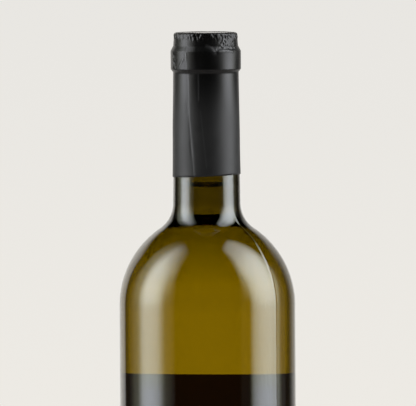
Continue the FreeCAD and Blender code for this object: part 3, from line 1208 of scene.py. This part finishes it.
@dataclass
class Studio:
    """A pale studio: two tall softboxes, a pale floor, an off-white backdrop and the camera.

    Attributes:
        aim_up: height that the camera looks at.
        aim_across: how far beside the bottle's axis it looks.
        view_width: width of the camera's frame at the bottle.
        camera_far, camera_rise, camera_roll: how far off the camera stands, how steeply it
            looks down, and how far it is turned about its line of sight.
        backdrop, backdrop_high: the backdrop's colour, low down and behind the bottle's top.
        backdrop_drop: sines of the angles below the level between which these change.
        backdrop_top: degrees above the level between which its mirror image ends.
        ambient: brightness of the light that falls on matt surfaces.
        floor_r, floor_fade, floor_tones: the floor's radius, the distances between which it
            melts away, and the two colours of its fine mottle.
    """

    aim_up: float
    aim_across: float = 0.55 * MM
    view_width: float = 177.5 * MM
    camera_far: float = 4.5
    camera_rise: float = math.radians(2.7)
    camera_roll: float = math.radians(0.36)
    backdrop: Colour = (0.847, 0.823, 0.776)
    backdrop_high: Colour = (0.812, 0.795, 0.761)
    backdrop_drop: Place = (0.028, 0.066)
    backdrop_top: Place = (20.0, 28.0)
    ambient: float = 0.3
    floor_r: float = 1.2
    floor_fade: Place = (0.35, 1.0)
    floor_tones: tuple[Colour, Colour] = ((0.41, 0.385, 0.365), (0.43, 0.405, 0.385))

    LEFT_BOX = Softbox(
        "softbox_left",
        [(-118, 0), (-112, 0.05), (-104, 0.12), (-100, 0.28), (-96, 0.57), (-92, 0.81),
         (-87, 0.95), (-80, 1), (-74, 0.96), (-68, 0.84), (-65, 0.66), (-62, 0.45), (-59, 0.23),
         (-56, 0.1), (-50, 0.04), (-46, 0)],
        [(-118, 0.03), (-113, 0.12), (-103, 0.25), (-94, 0.68), (-85, 1), (-76, 0.95), (-67, 0.74),
         (-58, 0.46), (-49.5, 0.15), (-45, 0)],
        [(0.02, 0.6), (0.12, 0.63), (0.15, 0.68), (0.27, 0.92), (0.45, 1), (0.76, 0.96),
         (0.9, 0.89), (1.07, 0.74), (1.27, 0.58), (1.52, 0.42), (1.86, 0.27), (2.34, 0.09),
         (2.7, 0)],
        10,
    )
    RIGHT_BOX = Softbox(
        "softbox_right",
        [(56, 0), (58, 0.12), (61, 0.42), (64, 0.62), (68, 0.78), (74, 0.94), (80, 1), (87, 0.98),
         (92, 0.93), (97, 0.72), (103, 0.46), (106, 0.2), (111, 0.04), (113, 0)],
        [(46, 0), (50, 0.17), (54, 0.42), (58.8, 0.74), (63, 0.87), (67, 0.95), (76, 1), (87, 1),
         (95, 0.97), (102, 0.78), (109, 0.48), (114, 0.15), (117, 0)],
        [(0.02, 0.58), (0.12, 0.62), (0.15, 0.69), (0.27, 0.9), (0.45, 1), (0.76, 1), (0.9, 0.92),
         (1.07, 0.82), (1.27, 0.7), (1.52, 0.55), (1.86, 0.43), (2.34, 0.35), (2.7, 0.24),
         (3.1, 0.07), (3.3, 0)],
        10,
    )
    # Brightness that shows in the bottle's surface, by degrees from the viewer's direction.
    SURROUND = [
        (-180, 1), (-169, 1.05), (-160, 1.3), (-142, 1.25), (-139, 0.7), (-136.5, 0.05),
        (-125, 0.05), (-122, 0.18), (-108, 0.25), (-100, 0.15), (-60, 0.15), (-50, 0.3),
        (-45.5, 0.28), (-43, 0.02), (43, 0.02), (46, 0.12), (60, 0.12), (100, 0.2), (112, 0.35),
        (122, 0.2), (125, 0.05), (135, 0.04), (141, 0.28), (150, 0.68), (162, 0.85), (170, 1),
        (180, 1),
    ]
    # The same for light that comes through the bottle.
    THROUGH = [
        (-180, 1), (-169, 1), (-168, 1.1), (-139, 1.12), (-136, 0.65), (-45, 0.6), (-43, 0.2),
        (43, 0.2), (45, 0.6), (136, 0.65), (139, 1.12), (168, 1.1), (169, 1), (180, 1),
    ]
    # How much brighter that light is from below, by the sine of the angle.
    TABLE = [(0.045, 1), (0.06, 1.04), (0.087, 1.14), (0.14, 1.32), (0.29, 1.44), (0.64, 1.7)]

    def place_camera(self) -> None:
        """Puts the camera in front of the bottle, far off with a long lens."""
        data = bpy.data.cameras.new("camera")
        camera = bpy.data.objects.new("camera", data)
        bpy.context.scene.collection.objects.link(camera)
        data.sensor_width = 36.0
        data.lens = data.sensor_width * self.camera_far / self.view_width
        data.clip_start = 0.05
        data.clip_end = 100.0
        aim = Vector((self.aim_across, 0.0, self.aim_up))
        back = Vector((0.0, -math.cos(self.camera_rise), math.sin(self.camera_rise)))
        turn = (-back).to_track_quat("-Z", "Y").to_matrix().to_4x4()
        roll = Matrix.Rotation(-self.camera_roll, 4, "Z")
        camera.matrix_world = Matrix.Translation(aim + back * self.camera_far) @ turn @ roll
        bpy.context.scene.camera = camera

    def light_world(self) -> None:
        """Makes the world: a backdrop where it is looked at, and a plain light elsewhere."""
        world = bpy.data.worlds.new("studio")
        bpy.context.scene.world = world
        world.use_nodes = True
        graph = Graph(world.node_tree)
        ray = graph.add("LightPath").outputs
        way = graph.parts(graph.add("TexCoord").outputs["Generated"])
        turned = around(graph, way)
        low, high = (math.sin(math.radians(angle)) for angle in self.backdrop_top)
        below = graph.ramp(way["Z"], [(low, 1.0), (high, 0.0)])
        mirrored = graph.math("MULTIPLY", ring(graph, turned, self.SURROUND), below)
        steep = graph.math("MULTIPLY", way["Z"], -1.0)
        through = ring(graph, turned, self.THROUGH)
        passed = graph.math("MULTIPLY", through, graph.ramp(steep, self.TABLE))
        lit = graph.mix(ray["Is Transmission Ray"], mirrored, passed)
        inputs = {0: self.backdrop, "Scale": lit}
        tinted = graph.add("VectorMath", inputs, operation="SCALE").outputs["Vector"]
        bent = graph.math("MAXIMUM", ray["Is Glossy Ray"], ray["Is Transmission Ray"])
        unseen = graph.mix(bent, rgba((self.ambient,) * 3), tinted)
        drop = graph.ramp(steep, [(self.backdrop_drop[end], end) for end in (0, 1)])
        seen = graph.mix(drop, rgba(self.backdrop_high), rgba(self.backdrop))
        colour = graph.mix(ray["Is Camera Ray"], unseen, seen)
        back = graph.add("Background", {"Color": colour})
        graph.add("OutputWorld", {"Surface": back.outputs["Background"]})

    def lay_floor(self) -> None:
        """Lays a pale round floor that melts into the backdrop."""
        shape = bmesh.new()
        bmesh.ops.create_circle(shape, cap_ends=True, segments=96, radius=self.floor_r)
        mesh = bpy.data.meshes.new("floor")
        shape.to_mesh(mesh)
        shape.free()
        floor = bpy.data.objects.new("floor", mesh)
        bpy.context.scene.collection.objects.link(floor)
        material, graph = new_material("floor_pale")
        place = graph.add("TexCoord").outputs["Object"]
        far = graph.add("VectorMath", {0: place}, operation="LENGTH").outputs["Value"]
        fade = graph.ramp(far, [(self.floor_fade[end], end) for end in (0, 1)], "EASE")
        tone = graph.mix(graph.noise(place, 60.0, 3.0), *map(rgba, self.floor_tones))
        paint = graph.add("BsdfDiffuse", {"Color": tone}).outputs["BSDF"]
        clear = graph.add("BsdfTransparent").outputs["BSDF"]
        passing = graph.add("LightPath").outputs["Is Transmission Ray"]
        faded = graph.math("MAXIMUM", fade, passing)
        blend = graph.add("MixShader", {"Fac": faded, 1: paint, 2: clear})
        graph.add("OutputMaterial", {"Surface": blend.outputs["Shader"]})
        mesh.materials.append(material)

    def build(self) -> None:
        """Builds the whole studio."""
        self.place_camera()
        for box in (self.LEFT_BOX, self.RIGHT_BOX):
            box.place()
        self.light_world()
        self.lay_floor()
        bpy.context.scene.view_settings.view_transform = "Standard"
        lens = bpy.context.scene.camera.data.lens
        log.info("studio: camera %.1f m away, lens %.0f mm", self.camera_far, lens)


def main() -> None:
    """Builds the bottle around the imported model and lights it."""
    logging.basicConfig(level=logging.INFO, format="%(name)s: %(message)s")
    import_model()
    glass_box, wine_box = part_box(Node.GLASS.value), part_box(Node.WINE.value)
    capsule_box, label_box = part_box(Node.CAPSULE.value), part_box(Node.LABEL.value)
    body_r, height = glass_box[1][0], glass_box[1][2]

    glass = ClearFinish(
        "olive_glass", (1.0, 0.8, 0.5), 1.51, (300.0, 300.0, 1300.0), "wetted", 30.0, 0.05 * MM,
        ((0.149, 1.0), (0.155, 0.83), (0.195, 0.86), (0.222, 0.96)),
    )
    liquid = ClearFinish(
        "white_wine", (1.0, 1.0, 1.0), 1.34, (0.3, 0.8, 3.0), "wetted", 60.0, 0.01 * MM
    )
    bottle = Bottle(body_r, height, body_r - wine_box[1][0], wine_box[1][2])
    bottle.build(glass.make(), glass.wet_attribute)
    Wine(bottle, wine_box[1][2] - WINE_DIP).build(liquid.make(), liquid.wet_attribute)
    capsule = Capsule(bottle, capsule_box[0][2] + Capsule.skew / 2)
    disc = FilmFinish("capsule_disc", roughness=(0.06, 0.1), gloss=0.5)
    capsule.build(FilmFinish().make(), disc.make())
    half = math.asin(label_box[1][0] / label_box[1][1])
    label = Label(body_r, label_box[0][2], label_box[1][2], 2 * half * body_r)
    # The glued side's brown colour and its glow are painted light: they stand in for the olive
    # light that passes through the glass and the wine onto it.
    glued = PaperFinish("label_backing_painted_light", (0.14, 0.07, 0.04), (0.2, 0.1, 0.06), glow=0.022)
    label.build(PaperFinish().make(), glued.make())
    Studio(AIM_SHARE * height).build()


if __name__ == "__main__":
    main()
